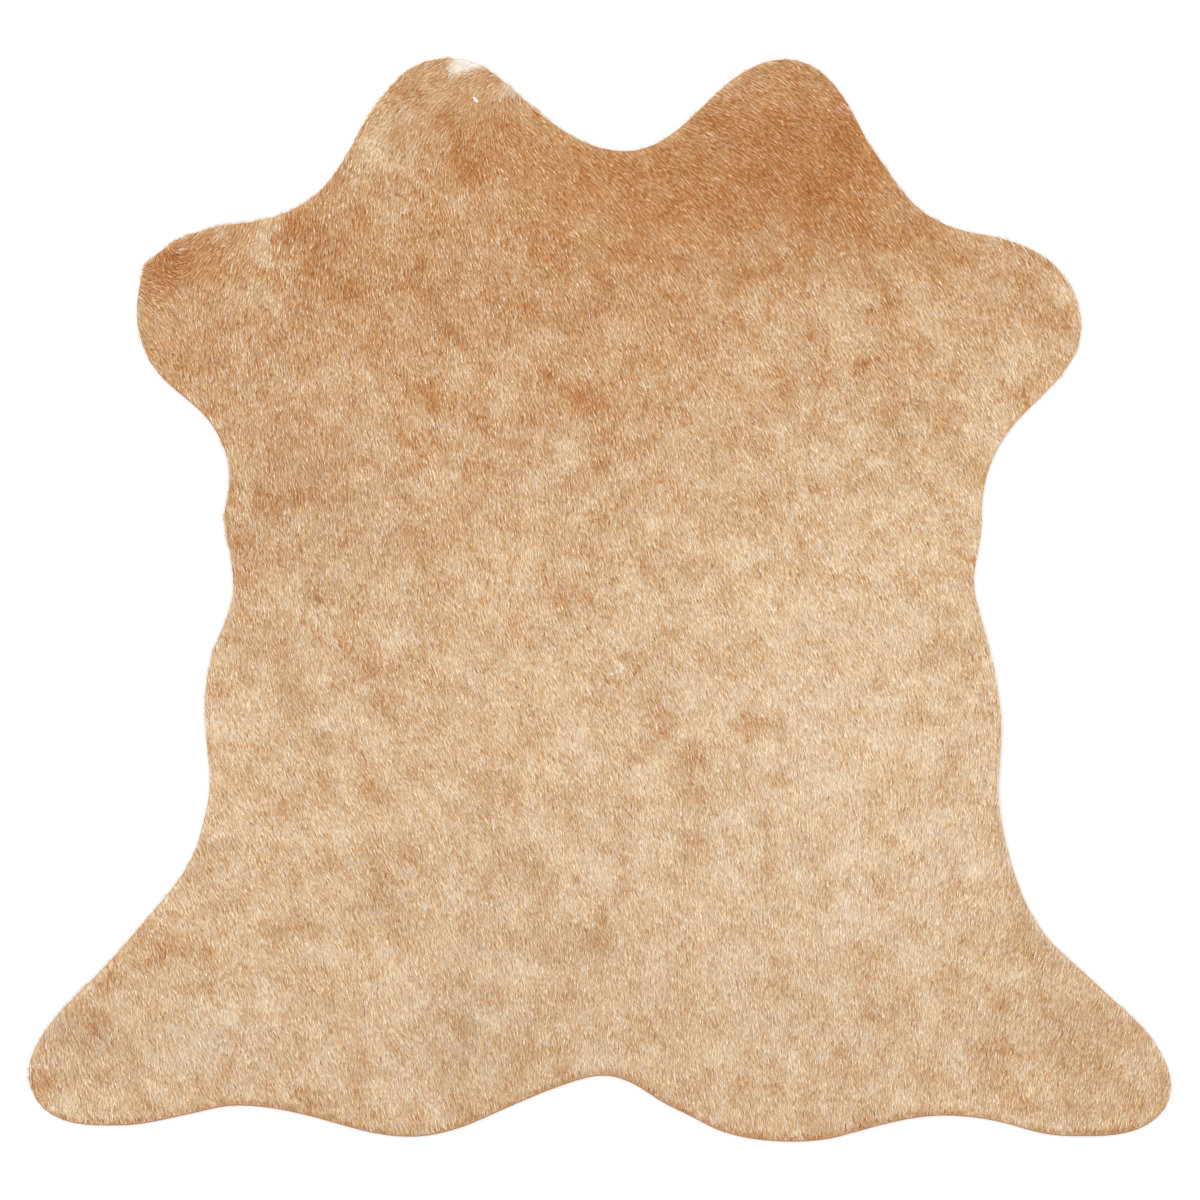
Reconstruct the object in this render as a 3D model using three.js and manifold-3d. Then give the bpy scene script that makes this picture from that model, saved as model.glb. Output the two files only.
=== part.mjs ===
import * as THREE from 'three';
import { mergeVertices } from 'three/addons/utils/BufferGeometryUtils.js';
import Module from 'manifold-3d';

// A small hair-on cowhide rug: one piece of tanned hide with its short coat lying down on it,
// cut to the outline of a whole hide and laid flat, hair side up. Millimetres, +Z up. The neck
// points to +Y, and the origin is on the floor under the middle of the rug.

// Driving dimensions
const HIDE_THICKNESS = 2.2;
const COAT_DEPTH = 3.3;
const UNDERCUT = 1.5;
const SHOULDER_WIDTH = 7;
const EDGE_FACET = 9;
const COAT_FACET = 18;

// The cut edge, clockwise from the middle of the neck as seen from above: where each bulge, bay
// or bend lies, measured from the middle of the rug, and which way the edge runs there, in
// degrees from +X, anticlockwise positive.
const EDGE = [
  { place: 'neck notch', x: 20, y: 359.5, heading: 0 },
  { place: 'notch, right slope', x: 82, y: 395, heading: 45 },
  { place: 'right neck lobe', x: 148, y: 433, heading: 0 },
  { place: 'right shoulder slope', x: 213, y: 370, heading: -63 },
  { place: 'right shoulder nick', x: 225, y: 351.5, heading: -54.5 },
  { place: 'right shoulder bay', x: 238, y: 333, heading: -58 },
  { place: 'right foreleg, upper side', x: 302, y: 293.5, heading: -9 },
  { place: 'right foreleg, top corner', x: 362, y: 270, heading: -40 },
  { place: 'right foreleg tip', x: 385.5, y: 219, heading: -90 },
  { place: 'right foreleg, lower side', x: 369, y: 179.5, heading: -130 },
  { place: 'right armpit, upper side', x: 337, y: 146.5, heading: -134 },
  { place: 'right armpit', x: 306, y: 66, heading: -88 },
  { place: 'right waist, upper side', x: 302, y: 34, heading: -101 },
  { place: 'right waist', x: 299.5, y: 15, heading: -89 },
  { place: 'right waist, lower side', x: 304.5, y: -12, heading: -74 },
  { place: 'right flank', x: 321.5, y: -107, heading: -90 },
  { place: 'right flank hollow', x: 319, y: -150, heading: -90 },
  { place: 'right thigh', x: 334, y: -225, heading: -72 },
  { place: 'right hock bay', x: 373, y: -285.5, heading: -41 },
  { place: 'right hind leg, upper side', x: 423, y: -331, heading: -42 },
  { place: 'right hind leg, top corner', x: 447, y: -358.5, heading: -59 },
  { place: 'right hind tip', x: 457.5, y: -391, heading: -92 },
  { place: 'right hind leg, low corner', x: 446, y: -415, heading: -139 },
  { place: 'right hind leg, underside', x: 378, y: -429.5, heading: 180 },
  { place: 'right hind leg, inner bend', x: 340, y: -423.5, heading: 162 },
  { place: 'right rump bay', x: 276, y: -413, heading: 180 },
  { place: 'right buttock, outer bend', x: 193, y: -429.5, heading: -165 },
  { place: 'right buttock', x: 155, y: -434, heading: 180 },
  { place: 'right buttock, inner bend', x: 97, y: -425.5, heading: 161 },
  { place: 'right tail cut', x: 84, y: -419.5, heading: 151 },
  { place: 'right tail cut, corner', x: 54, y: -404.5, heading: 154 },
  { place: 'right tail slope', x: 44, y: -398.5, heading: 145 },
  { place: 'tail notch', x: 3, y: -381, heading: 180 },
  { place: 'left tail slope', x: -28, y: -388, heading: -161 },
  { place: 'left buttock, inner bend', x: -95, y: -416, heading: -156 },
  { place: 'left buttock', x: -156, y: -430, heading: 178 },
  { place: 'left buttock, outer bend', x: -200, y: -422.5, heading: 164 },
  { place: 'left rump bay', x: -290, y: -405, heading: 180 },
  { place: 'left hind leg, inner bend', x: -330, y: -412, heading: -168 },
  { place: 'left hind leg, underside', x: -386, y: -421, heading: 180 },
  { place: 'left hind leg, low corner', x: -439, y: -412.5, heading: 150 },
  { place: 'left hind tip', x: -457.5, y: -377, heading: 87 },
  { place: 'left hind leg, top corner', x: -443.5, y: -344.5, heading: 55 },
  { place: 'left hind leg, ragged cut', x: -405, y: -302.5, heading: 45 },
  { place: 'left hind leg, upper side', x: -353, y: -244, heading: 49 },
  { place: 'left thigh', x: -320, y: -187, heading: 77 },
  { place: 'left flank hollow', x: -312.5, y: -149, heading: 89 },
  { place: 'left flank', x: -316.5, y: -82, heading: 87 },
  { place: 'left flank step', x: -307, y: -34, heading: 68 },
  { place: 'left waist, lower side', x: -295, y: -1.5, heading: 74 },
  { place: 'left waist', x: -293.5, y: 16, heading: 91 },
  { place: 'left waist, upper side', x: -298, y: 46, heading: 103 },
  { place: 'left side bump', x: -301, y: 65, heading: 90 },
  { place: 'left armpit', x: -296.5, y: 95, heading: 87 },
  { place: 'left armpit, upper side', x: -310.5, y: 140, heading: 124 },
  { place: 'left foreleg, lower side', x: -336, y: 165, heading: 141 },
  { place: 'left foreleg, low corner', x: -360, y: 190.5, heading: 120 },
  { place: 'left foreleg tip', x: -371, y: 229, heading: 91 },
  { place: 'left foreleg, below corner', x: -365.5, y: 266, heading: 76 },
  { place: 'left foreleg, above corner', x: -361.5, y: 271.5, heading: 44 },
  { place: 'left foreleg, upper side', x: -285, y: 302, heading: 5 },
  { place: 'left shoulder bay', x: -228.5, y: 324, heading: 40 },
  { place: 'left shoulder slope', x: -196, y: 369, heading: 61 },
  { place: 'left neck lobe, outer side', x: -167, y: 412, heading: 49 },
  { place: 'left neck lobe', x: -123, y: 434, heading: 0 },
  { place: 'left neck lobe, inner side', x: -83, y: 420, heading: -38 },
  { place: 'notch, left slope', x: -41, y: 384, heading: -38 },
];

// How the edge is cut and the coat rounds over it: how far in from the outline each ring lies,
// and its height. The last ring stands above the coat, which cuts it off.
const RIM = [
  { ring: 'cut edge of the underside', inset: UNDERCUT, height: 0 },
  { ring: 'lowest hair tips', inset: 0, height: 0.6 * HIDE_THICKNESS },
  { ring: 'outermost hair tips', inset: 0, height: 1.3 * HIDE_THICKNESS },
  { ring: 'coat turning over', inset: 0.25 * SHOULDER_WIDTH, height: HIDE_THICKNESS + 0.6 * COAT_DEPTH },
  { ring: 'shoulder of the coat', inset: SHOULDER_WIDTH, height: HIDE_THICKNESS + 1.4 * COAT_DEPTH },
];

// Long, low swells of the coat as sine waves: length of a wave, the way it runs in degrees from
// +X, its rise above the mean, and where along the wave the middle of the rug lies, in degrees.
const SWELLS = [
  { length: 210, way: 24, rise: 0.35, phase: 40 },
  { length: 148, way: 97, rise: 0.3, phase: 205 },
  { length: 96, way: 151, rise: 0.22, phase: 310 },
];

// Soft creases where the hide was folded: the two ends, the width from crest to crest and the depth.
const CREASES = [
  { place: 'right side of the waist', x1: 140, y1: 20, x2: 300, y2: 10, width: 40, depth: 0.9 },
];

const { degToRad } = THREE.MathUtils;

// Handle length that makes a curve follow a round arc, for a chord and the turn away from it.
function arcHandle(chord, turn) {
  return chord / (3 * Math.cos(turn / 2) ** 2);
}

// The closed outline: between two places one cubic that leaves and arrives along their headings.
function edgePath() {
  const path = new THREE.Path();
  path.moveTo(EDGE[0].x, EDGE[0].y);
  EDGE.forEach((from, i) => {
    const to = EDGE[(i + 1) % EDGE.length];
    const chord = new THREE.Vector2(to.x - from.x, to.y - from.y);
    const leave = new THREE.Vector2(1, 0).rotateAround(new THREE.Vector2(), degToRad(from.heading));
    const arrive = new THREE.Vector2(1, 0).rotateAround(new THREE.Vector2(), degToRad(to.heading));
    leave.multiplyScalar(arcHandle(chord.length(), chord.angleTo(leave)));
    arrive.multiplyScalar(arcHandle(chord.length(), chord.angleTo(arrive)));
    path.bezierCurveTo(from.x + leave.x, from.y + leave.y, to.x - arrive.x, to.y - arrive.y, to.x, to.y);
  });
  return path;
}

// The outline as evenly spaced points, anticlockwise, with the middle of its box at the origin.
function edgePoints() {
  const path = edgePath();
  const points = path.getSpacedPoints(Math.round(path.getLength() / EDGE_FACET)).slice(1).reverse();
  const middle = new THREE.Box2().setFromPoints(points).getCenter(new THREE.Vector2());
  return points.map((point) => point.sub(middle));
}

// The outline moved inwards: each point goes square to the line between its two neighbours.
function insetPoints(points, inset) {
  return points.map((point, i) => {
    const before = points[(i + points.length - 1) % points.length];
    const after = points[(i + 1) % points.length];
    const along = after.clone().sub(before).normalize();
    return new THREE.Vector2(point.x - along.y * inset, point.y + along.x * inset);
  });
}

// A closed body through the rings of the rim, with a flat face at each end.
function rimBody(points) {
  const rings = RIM.map((row) => insetPoints(points, row.inset));
  const positions = rings.flatMap((ring, k) => ring.flatMap((p) => [p.x, p.y, RIM[k].height]));
  const count = points.length;
  const indices = [];
  for (let k = 0; k + 1 < rings.length; k++) {
    for (let i = 0; i < count; i++) {
      const a = k * count + i;
      const b = k * count + ((i + 1) % count);
      indices.push(a, b, b + count, a, b + count, a + count);
    }
  }
  const last = (rings.length - 1) * count;
  for (const [a, b, c] of THREE.ShapeUtils.triangulateShape(rings[0], [])) {
    indices.push(c, b, a);
  }
  for (const [a, b, c] of THREE.ShapeUtils.triangulateShape(rings[rings.length - 1], [])) {
    indices.push(last + a, last + b, last + c);
  }
  const geometry = new THREE.BufferGeometry();
  geometry.setAttribute('position', new THREE.Float32BufferAttribute(positions, 3));
  geometry.setIndex(indices);
  return geometry;
}

// Height of the coat above the floor at one place.
function coatHeight(x, y) {
  let height = HIDE_THICKNESS + COAT_DEPTH;
  for (const swell of SWELLS) {
    const way = degToRad(swell.way);
    const along = (x * Math.cos(way) + y * Math.sin(way)) / swell.length;
    height += swell.rise * Math.sin(2 * Math.PI * along + degToRad(swell.phase));
  }
  const place = new THREE.Vector3(x, y, 0);
  for (const crease of CREASES) {
    const line = new THREE.Line3(
      new THREE.Vector3(crease.x1, crease.y1, 0),
      new THREE.Vector3(crease.x2, crease.y2, 0),
    );
    const nearest = line.closestPointToPoint(place, true, new THREE.Vector3());
    const away = Math.min(1, nearest.distanceTo(place) / (crease.width / 2));
    height -= crease.depth * (1 - THREE.MathUtils.smoothstep(away, 0, 1));
  }
  return height;
}

// The air above the coat: a block whose underside has the coat's swells and creases.
function airAboveCoat(points) {
  const size = new THREE.Box2().setFromPoints(points).getSize(new THREE.Vector2());
  size.addScalar(2 * COAT_FACET);
  const thickness = 4 * COAT_DEPTH;
  const across = Math.round(size.x / COAT_FACET);
  const along = Math.round(size.y / COAT_FACET);
  const block = new THREE.BoxGeometry(size.x, size.y, thickness, across, along, 1);
  const position = block.getAttribute('position');
  for (let i = 0; i < position.count; i++) {
    const isUnderside = position.getZ(i) < 0;
    const height = coatHeight(position.getX(i), position.getY(i));
    position.setZ(i, isUnderside ? height : height + thickness);
  }
  return block;
}

const wasm = await Module();
wasm.setup();

// A closed geometry as a solid that can be cut.
function solid(geometry) {
  const bare = new THREE.BufferGeometry();
  bare.setAttribute('position', geometry.getAttribute('position'));
  bare.setIndex(geometry.getIndex());
  const merged = mergeVertices(bare);
  return new wasm.Manifold(new wasm.Mesh({
    numProp: 3,
    vertProperties: merged.getAttribute('position').array,
    triVerts: new Uint32Array(merged.getIndex().array),
  }));
}

// A cut solid as a geometry again.
function geometryOf(cut) {
  const mesh = cut.getMesh();
  const geometry = new THREE.BufferGeometry();
  geometry.setAttribute('position', new THREE.BufferAttribute(mesh.vertProperties, 3));
  geometry.setIndex(new THREE.BufferAttribute(mesh.triVerts, 1));
  geometry.computeVertexNormals();
  return geometry;
}

// The rug: the rim's body with the air above the coat cut away.
function makeCowhide() {
  const points = edgePoints();
  const cut = solid(rimBody(points)).subtract(solid(airAboveCoat(points)));
  const coat = new THREE.MeshStandardMaterial({ color: 0xd8b48c, roughness: 0.85, metalness: 0 });
  const mesh = new THREE.Mesh(geometryOf(cut), coat);
  mesh.name = 'cowhide';
  return mesh;
}

const rug = new THREE.Group();
rug.name = 'cowhide_rug';
rug.add(makeCowhide());

export default rug;
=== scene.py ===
"""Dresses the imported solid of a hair-on cowhide rug: the tanned skin, its short coat, and a stage.

The skin is a sheet about two millimetres thick, with a suede flesh side, a cut edge and a
downy upper side. The coat is made of small locks of hair that lie down along the nap, from
the neck towards the rump, and that lie over each other as roof tiles do. Everything is in
metres, in the solid's own frame: +Y towards the neck, +X towards the right legs, +Z up.
Tables give places in millimetres from the rug's middle.
"""

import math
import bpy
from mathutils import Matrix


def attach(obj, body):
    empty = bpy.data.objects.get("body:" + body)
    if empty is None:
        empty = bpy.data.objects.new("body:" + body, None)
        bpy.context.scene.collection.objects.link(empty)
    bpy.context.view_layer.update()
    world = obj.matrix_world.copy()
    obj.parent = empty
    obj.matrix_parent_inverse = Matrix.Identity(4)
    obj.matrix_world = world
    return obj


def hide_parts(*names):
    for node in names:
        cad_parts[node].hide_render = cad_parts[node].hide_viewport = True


bl_info = {
    "name": "Cowhide rug",
    "version": (1, 0, 0),
    "blender": (4, 5, 0),
    "location": "3D View > Sidebar > Cowhide rug",
    "description": "Makes the skin, the coat of hair and the stage of a hair-on cowhide rug",
    "category": "Object",
}

import bpy
import numpy as np
from bpy.props import FloatProperty, FloatVectorProperty, IntProperty, PointerProperty

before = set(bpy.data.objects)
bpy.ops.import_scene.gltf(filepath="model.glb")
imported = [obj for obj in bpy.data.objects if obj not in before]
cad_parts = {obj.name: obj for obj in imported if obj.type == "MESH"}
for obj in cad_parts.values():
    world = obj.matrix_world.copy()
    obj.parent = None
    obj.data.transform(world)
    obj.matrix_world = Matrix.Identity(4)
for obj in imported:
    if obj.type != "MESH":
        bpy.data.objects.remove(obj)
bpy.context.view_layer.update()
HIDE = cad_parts["cowhide"]

MM = 0.001
DOWN = 0.55  # of the coat's depth, filled by the down under the locks
COATS = ("coat_neck", "coat_shoulders", "coat_waist", "coat_loin", "coat_rump")
MOST_LOCKS = 49000  # in one piece of coat, four triangles each
CHUNK = 4000  # places worked out at once, which bounds the memory that they take

# Sizes of the rug, in millimetres.
HALF_SPAN = 465  # half the side of a square that holds it
RUG_AREA = 544000.0  # square millimetres, for the first guess of the locks' spacing
SHOULDER = 7.0  # width of the coat's rounded edge
SWELL_BELL = 10.0  # spread of the bell curve that smooths the coat's height
SKIN_RIM = 0.3  # width of the skin's outermost strip

# At a lock's root, tip, left and right: the tawniness added and the shade taken off, which
# make the root darker as painted shade where the locks cover each other and the tip paler,
# and how far the point shows the painted shade of the lower rim and the cut end of trimmed hair.
POINT_TAWNY_AND_ROOT_SHADE = np.array([0.65, -0.26, 0.04, 0.04])
POINT_SHADE = np.array([0.06, 0.0, 0.01, 0.01])
POINT_RIM_SHADE_AND_CUT = np.array([0.0, 1.0, 0.35, 0.35])

# The nap: how far the hair's tips lean from straight down towards the right, in degrees,
# with the neck at the top. A row rules over its reach. Most rows follow the direction of
# the streaks as it was measured in the photograph.
NAP_COLUMNS = ("x", "y", "lean", "reach")
NAP = (
    # left neck lobe
    (-172, 392, -50, 22), (-148, 417, -62, 16), (-120, 410, -60, 18), (-97, 414, -72, 10),
    (-84, 417, -76, 7), (-86, 409, -38, 5), (-74, 406, -2, 9), (-93, 396, -8, 12),
    (-120, 391, -38, 16), (-138, 386, -32, 20), (-152, 371, -15, 25), (-111, 371, -4, 22),
    (-50, 391, 56, 14), (-65, 368, 36, 25),
    (-205, 352, -32, 40), (-160, 342, -9, 35), (-120, 342, 11, 35), (-80, 342, 32, 35),
    # neck notch and right neck lobe
    (-40, 350, 41, 40), (0, 350, 50, 40), (40, 350, 50, 40),
    (85, 395, 80, 30), (120, 395, 58, 30), (160, 395, 58, 30),
    (80, 352, 53, 40), (120, 352, 36, 40), (160, 352, 40, 40), (200, 352, 39, 40),
    # shoulders
    (-240, 312, -17, 40), (-200, 312, -4, 40), (-160, 312, 3, 40), (-120, 312, 19, 40),
    (-80, 312, 25, 45), (0, 312, 30, 45), (120, 312, 31, 45), (240, 312, 32, 45),
    (-280, 272, -10, 35), (-240, 272, 0, 40), (-200, 272, 8, 40), (-120, 272, 16, 45),
    (0, 272, 25, 45), (120, 272, 28, 45), (220, 272, 31, 45), (320, 272, 30, 45),
    (-315, 228, 14, 35), (-280, 228, 7, 40), (-220, 228, 14, 45), (-120, 228, 16, 45),
    (0, 228, 22, 45), (160, 228, 26, 45), (320, 228, 26, 45), (372, 190, 12, 35),
    # whorl at the tip of the left foreleg
    (-364, 262, 80, 7), (-354, 259, 84, 7), (-345, 254, 58, 6), (-365, 251, 64, 8),
    (-363, 243, 52, 9), (-350, 245, 45, 9), (-340, 246, 22, 8), (-358, 228, 40, 12),
    (-354, 206, 32, 16), (-330, 245, 3, 10), (-316, 250, -14, 10), (-306, 262, -28, 11),
    (-324, 264, -45, 9), (-317, 275, -42, 9), (-325, 285, -58, 8), (-333, 288, -66, 7),
    (-308, 290, -38, 10), (-337, 278, 90, 6), (-336, 268, 88, 6), (-344, 277, 25, 5),
    (-349, 271, 2, 5), (-358, 271, -30, 5), (-290, 285, -24, 16), (-290, 250, -10, 16),
)

# The rest of the nap in bands across the rug, each a y and then x and lean of its places.
BAND_REACH = 45
NAP_BANDS = (
    # chest and waist
    (172, ((-300, 12), (-200, 13), (-80, 16), (60, 21), (180, 24), (300, 24))),
    (92, ((-280, 12), (-120, 9), (0, 12), (160, 22), (280, 26))),
    (12, ((-280, 13), (-120, 14), (0, 16), (160, 22), (290, 20))),
    # belly and loin
    (-68, ((-290, 18), (-120, 21), (40, 22), (200, 22), (300, 8))),
    (-148, ((-290, 24), (-120, 25), (0, 20), (160, 10), (300, -2))),
    (-208, ((-240, 30), (-120, 22), (0, 12), (120, 6), (200, 0), (290, -6))),
    # rump and hind legs
    (-268, ((-345, 20), (-240, 26), (-120, 12), (0, 8), (120, 9), (200, -3), (320, -14))),
    (-328, ((-390, 18), (-280, 20), (-160, 12), (0, 1), (120, 4), (240, -4), (385, -22))),
    (-388, ((-430, 14), (-320, 24), (-160, 18), (80, 14), (200, 5), (320, -6), (425, -13))),
)

# Shades laid over the whole coat: a row darkens towards tawny (or lightens, below 0) and
# greys the hair in an oval of half width rx and half height ry, turned by turn degrees.
# Here and in the next tables of ovals, a row leaves out noughts at its end.
SHADE_COLUMNS = ("place", "x", "y", "rx", "ry", "tawny", "turn", "grey")
SHADES = (
    ("neck", 60, 425, 330, 160, 0.62, -8),
    ("right neck lobe", 168, 362, 80, 66, 0.45),
    ("collar on right", 130, 320, 130, 38, 0.36, -14),
    ("collar in middle", -15, 330, 75, 38, 0.29),
    ("chest", -110, 195, 290, 110, 0.34),
    ("upper chest", -20, 265, 110, 45, 0.16),
    ("below right collar", 146, 248, 36, 28, -0.26),
    ("right foreleg", 358, 252, 24, 24, 0.14),
    ("root of right foreleg", 296, 238, 22, 24, -0.16),
    ("spot below left neck lobe", -105, 355, 20, 18, 0.45),
    ("left side of notch", -72, 378, 30, 14, 0.24, -30),
    ("left edge of neck lobe", -180, 380, 26, 40, -0.2, 20),
    ("left shoulder", -205, 280, 62, 34, 0.3, -10, 0.04),
    ("dark spot on left shoulder", -230, 256, 15, 13, 0.34),
    ("darker spot beside it", -199, 251, 17, 15, 0.42),
    ("between shoulder and foreleg", -262, 280, 16, 34, -0.24),
    ("left foreleg tip", -346, 267, 26, 17, 0.8, 10),
    ("left foreleg root", -303, 275, 18, 22, 0.34),
    ("left foreleg", -335, 230, 50, 65, 0.23),
    ("spots on right shoulder", 232, 198, 22, 14, 0.1),
    ("spot on right foreleg", 335, 234, 14, 13, 0.28, -30),
    ("spot on chest", -12, 162, 20, 12, 0.42, -15),
    ("below spot", 4, 140, 22, 16, 0.22),
    ("pale stroke beside it", -26, 108, 10, 22, -0.18),
    ("left flank", -240, 75, 105, 110, 0.14, 0, 0.06),
    ("upper spot on left flank", -240, 113, 46, 22, 0.08, 0, 0.04),
    ("spot at left edge", -290, 42, 18, 22, 0.26),
    ("spot on right of waist", 112, 66, 48, 16, 0.2, -12),
    ("spots left of middle", -85, -14, 36, 13, 0.28, -38),
    ("spot on left of waist", -185, -34, 22, 16, 0.2),
    ("strokes on left belly", -240, -85, 20, 42, 0.14, 0, 0.08),
    ("stroke on left belly", -172, -86, 26, 9, 0.22, -45),
    ("stroke on right belly", 103, -54, 9, 18, 0.2, 15),
    ("right flank", 190, -120, 170, 170, -0.21),
    ("spot on belly", -32, -156, 24, 14, 0.2),
    ("dark spot on left loin", -170, -240, 17, 26, 0.34, 25, 0.1),
    ("spots on loin", -68, -212, 34, 14, 0.26, -45, 0.06),
    ("rump", -8, -280, 38, 18, 0.24, 0, 0.1),
    ("spot above left hind leg", -334, -274, 11, 12, 0.28),
    ("spot on left hind leg", -326, -310, 13, 8, 0.3),
    ("pale left hind leg", -335, -358, 60, 28, -0.24, 0, 0.09),
    ("left hind leg tip", -412, -348, 38, 26, 0.26, 35, 0.14),
    ("left of rump", -112, -352, 34, 55, 0.16, 0, 0.1),
    ("spot on right loin", 192, -229, 10, 8, 0.24),
    ("right hind leg", 372, -345, 48, 36, 0.32, -40, 0.04),
    ("spot on right hind leg", 381, -345, 8, 16, 0.24, 10),
    ("middle of left neck lobe", -102, 408, 46, 24, -0.38),
    ("right of collar", 115, 322, 20, 16, -0.22),
    ("left shoulder notch", -226, 314, 30, 20, 0.34, 15),
    ("top of left foreleg", -330, 292, 34, 14, 0.2, 12),
    ("left foreleg edge", -358, 214, 16, 26, 0.16),
    ("right edge of neck", 206, 345, 24, 34, 0.18, 20),
    ("middle of left shoulder", -140, 240, 30, 24, -0.14),
    ("left of chest", -92, 124, 26, 22, -0.2),
    ("far left of chest", -144, 134, 20, 20, -0.24),
    ("right of chest", 62, 130, 20, 30, -0.14),
    ("above middle", 46, 82, 36, 18, -0.24),
    ("left of chest, higher", -95, 180, 30, 34, -0.2),
    ("right foreleg edge", 372, 212, 16, 26, -0.18),
    ("middle", 66, -40, 18, 22, -0.26),
    ("left of waist", -200, -54, 22, 15, -0.32),
    ("below middle", -24, -84, 34, 14, -0.18),
    ("right of belly", 280, -155, 28, 18, -0.16),
    ("above left hind leg", -306, -290, 18, 18, -0.26),
    ("inside of left hind leg", -238, -365, 26, 36, -0.2),
    ("left loin", -238, -245, 22, 30, -0.14),
    ("left of rump, pale", -140, -352, 16, 16, -0.18),
    ("left edge of waist", -276, 0, 24, 26, 0.14),
    ("left belly", -236, -168, 34, 34, 0.26),
    ("low in middle", -45, -142, 30, 20, 0.12),
    ("left of loin", -40, -234, 50, 18, 0.18),
    ("edge of left hind leg", -366, -266, 22, 10, 0.22, 48),
    ("spots above right hind leg", 310, -262, 18, 12, 0.16),
    ("foot of right hind leg", 372, -378, 42, 28, 0.2),
    ("inside of right hind leg", 322, -316, 20, 18, -0.14),
    ("right of loin", 200, -292, 18, 14, -0.12),
    ("right of middle", 280, -84, 26, 28, 0.12),
    ("left of middle", -90, 40, 22, 24, 0.18),
    ("below middle, on right", 42, -156, 18, 18, 0.12),
    ("right belly", 176, -168, 30, 22, 0.1),
    ("top of right neck lobe", 132, 414, 34, 18, -0.2, 20),
    ("right of rump, at edge", 145, -420, 44, 20, 0.26),
    # The two crease rows darken the coat along two faint creases: painted shade.
    ("crease on right of waist", 220, 14.5, 58, 1.8, 0.3, -4),
    ("crease at step in left flank", -290, -33, 20, 2.4, 0.35, -4),
    ("lower half", 0, -360, 520, 230, -0.09, 0, 0.09),
)

# White hairs: a tuft at the top of the left neck lobe, two pale spots and a small scratch.
WHITE_COLUMNS = ("place", "x", "y", "rx", "ry", "white", "turn")
WHITES = (
    ("tuft", -106, 430, 14, 6, 1.0, 14),
    ("lower tip of tuft", -116, 423, 7, 4, 0.5, 40),
    ("pale spot", -74, 407, 9, 12, 0.17, 20),
    ("pale spot on left", -156, 388, 7, 6, 0.16),
)
SCRATCH = (-99.6, 400.4, 1.05, 3.0, 38)  # x, y, half widths and turn
SCRATCH_RIM = (1.15, 0.85)  # shares of the half widths between which it fades

# Where fine hairs stick out past the outline, and how densely.
FUZZ_COLUMNS = ("place", "x", "y", "rx", "ry", "share", "turn")
FUZZ = (
    ("tuft", -102, 433, 18, 12, 0.95),
    ("right of tuft", -72, 414, 16, 10, 0.45, -40),
    ("notch", -45, 392, 30, 16, 0.2, -35),
    ("top of left foreleg", -285, 303, 48, 14, 0.6, 8),
    ("left foreleg corner", -365, 269, 8, 8, 1.6),
    ("left shoulder notch", -235, 318, 26, 16, 0.45, 30),
    ("step in left flank", -306, -38, 12, 26, 0.45),
    ("left flank", -300, 90, 16, 90, 0.15),
    ("left hind leg", -390, -283, 80, 22, 0.7, 42),
    ("left hind foot", -450, -352, 20, 34, 0.5, -20),
    ("top of right foreleg", 330, 290, 60, 18, 0.25, -15),
    ("right foreleg tip", 384, 215, 14, 50, 0.1),
    ("below right foreleg", 352, 165, 40, 16, 0.25, 45),
)

# Where the coat is sleeker, with less contrast between locks: x, y, half widths and turn.
SLEEK = (-122, 400, 58, 36, 0)

# Roots along the outline, in millimetres: one to each stretch of it, up to a depth in from it.
HEM_STRETCH, HEM_DEPTH = 0.3, 1.6
FUZZ_STRETCH, FUZZ_DEPTH = 0.15, 1.5
FUZZ_LENGTH, FUZZ_WIDTH = (1.6, 4.2), (0.22, 0.45)  # least and most

# Stripes of tone along the nap, in millimetres, and what brings their spread near 1.
STREAK_PERIOD, STREAK_LENGTH, STREAK_CELL, STREAK_SCALE = 1.9, 3.6, 0.6, 1.9

# Mottling of the coat: cell of each cloud in millimetres, and how far it shifts the hair
# towards tawny.
CLOUDS = ((2.4, 0.05), (4.5, 0.08), (9.0, 0.10), (18.0, 0.06), (36.0, 0.03))


def table(names, rows):
    """One array of each named column of a table's rows."""
    return dict(zip(names, map(np.array, zip(*rows))))


def smooth(low, high, value):
    """0 at low and 1 at high, with a soft start and end: 3 u squared less 2 u cubed."""
    u = np.clip((value - low) / (high - low), 0, 1)
    return u * u * (3 - 2 * u)


def cloud(x, y, cell, seed):
    """Smooth random field with a spread of 1: random numbers on a turned square lattice of the
    given cell, joined by the cubic B-spline over the four lattice lines each way."""
    draw = np.random.default_rng(seed)
    turn = draw.uniform(0, math.tau)
    across = int(1400 / cell) + 6
    lattice = draw.normal(size=(across, across)) / 0.48
    u = (x * math.cos(turn) - y * math.sin(turn)) / cell + across / 2
    v = (x * math.sin(turn) + y * math.cos(turn)) / cell + across / 2
    i, j = np.floor(u).astype(int), np.floor(v).astype(int)

    def spline(f):
        return (
            (1 - f) ** 3 / 6,
            (3 * f**3 - 6 * f**2 + 4) / 6,
            (-3 * f**3 + 3 * f**2 + 3 * f + 1) / 6,
            f**3 / 6,
        )

    total = np.zeros_like(u)
    for p, weight_u in enumerate(spline(u - i)):
        for q, weight_v in enumerate(spline(v - j)):
            total += weight_u * weight_v * lattice[i + p - 1, j + q - 1]
    return total


def oval(x, y, row_x, row_y, rx, ry, turn):
    """1 in the middle of a turned oval, falling to 0 as exp of minus the squared distance in
    half widths."""
    a = np.radians(turn)
    across = (x - row_x) * np.cos(a) + (y - row_y) * np.sin(a)
    along = (y - row_y) * np.cos(a) - (x - row_x) * np.sin(a)
    return np.exp(-((across / rx) ** 2) - (along / ry) ** 2)


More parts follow.
